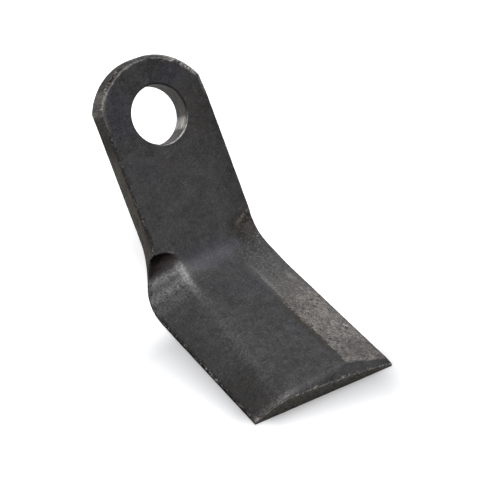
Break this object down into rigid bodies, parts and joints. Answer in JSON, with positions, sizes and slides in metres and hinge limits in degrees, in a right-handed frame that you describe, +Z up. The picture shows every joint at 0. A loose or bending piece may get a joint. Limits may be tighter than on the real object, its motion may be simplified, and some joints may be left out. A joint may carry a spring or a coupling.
{
  "type": "y-shaped mulcher blade",
  "caption": "Forged flat steel flail blade with a bore at its rounded head, a straight shank and a wider bevelled leg bent forward.",
  "frame": {"origin": "in the middle of the leg's flat underside, on the shank's centre plane", "axes": "+Z up from the leg's underside, +Y back from the leg's end towards the head, +X to the blade's right seen from the leg's end"},
  "size_m": [0.0519, 0.1211, 0.0637],
  "materials": {
    "forged_steel": "dark forge scale with bare scraped edges"
  },
  "bodies": {
    "root": {"mulcher_blade": "forged_steel"}
  },
  "joints": []
}
